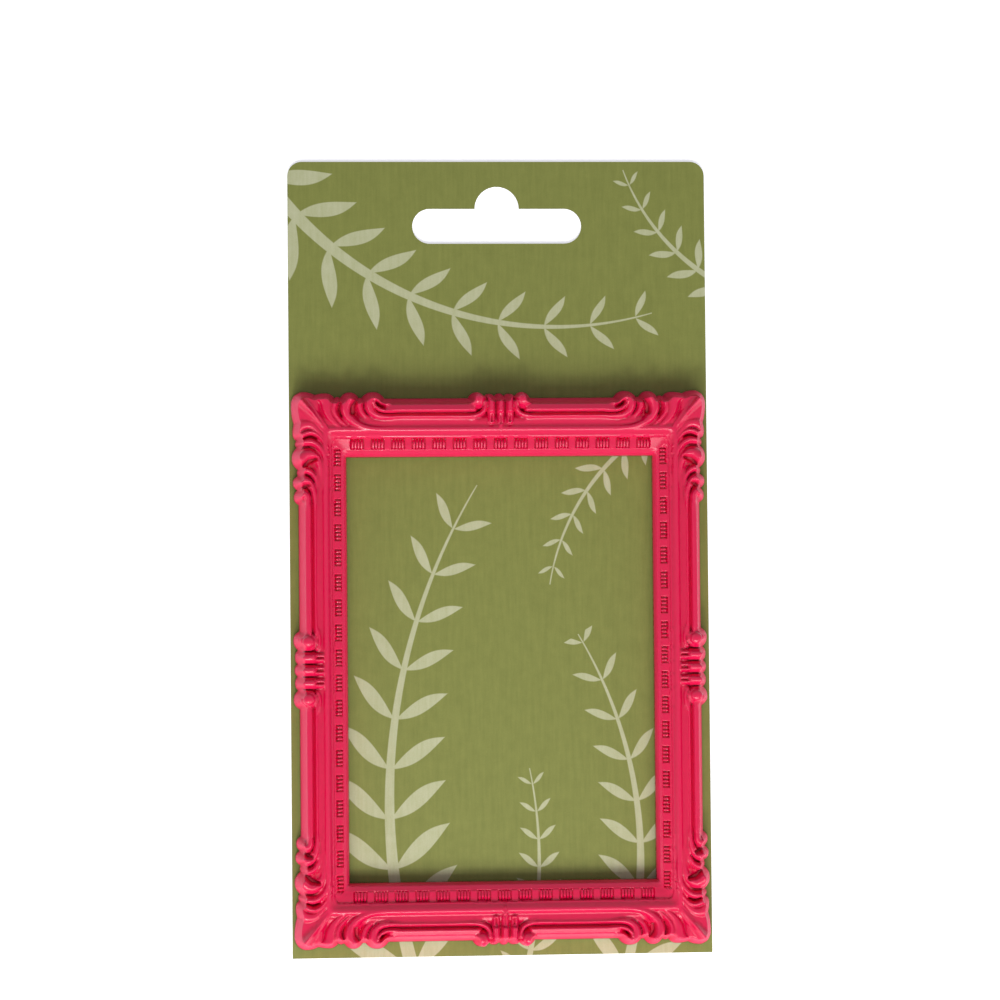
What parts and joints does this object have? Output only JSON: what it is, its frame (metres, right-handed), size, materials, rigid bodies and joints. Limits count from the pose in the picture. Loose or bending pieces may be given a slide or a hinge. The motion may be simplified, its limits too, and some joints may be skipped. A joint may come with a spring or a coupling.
{
  "type": "magnetic photo frame",
  "caption": "Small moulded picture frame with carved-style corner leaves and magnet strips in its back, held by glue dots on a printed hang card with a peg slot.",
  "frame": {"origin": "on the card's back face, below the middle of the frame's window", "axes": "+X across the picture, +Y up the picture towards the peg slot, +Z out of the frame's face"},
  "size_m": [0.0754, 0.143, 0.0085],
  "materials": {
    "red_moulding": "satin gloss paint over moulded plastic",
    "magnet_rubber": "matt ferrite rubber",
    "clear_glue": "glossy translucent glue",
    "printed_card": "matt offset print on coated board"
  },
  "bodies": {
    "card": {"hang_card": "printed_card", "glue_dot_top_left": "clear_glue", "glue_dot_top_right": "clear_glue", "glue_dot_bottom_left": "clear_glue", "glue_dot_bottom_right": "clear_glue"},
    "frame": {"frame_moulding": "red_moulding", "magnet_strip_top": "magnet_rubber", "magnet_strip_bottom": "magnet_rubber", "magnet_strip_left": "magnet_rubber", "magnet_strip_right": "magnet_rubber"}
  },
  "joints": [
    {"name": "frame_lift", "type": "slide", "parent": "card", "child": "frame", "axis": [0, 0, 1], "range_m": [0, 0.04]}
  ]
}
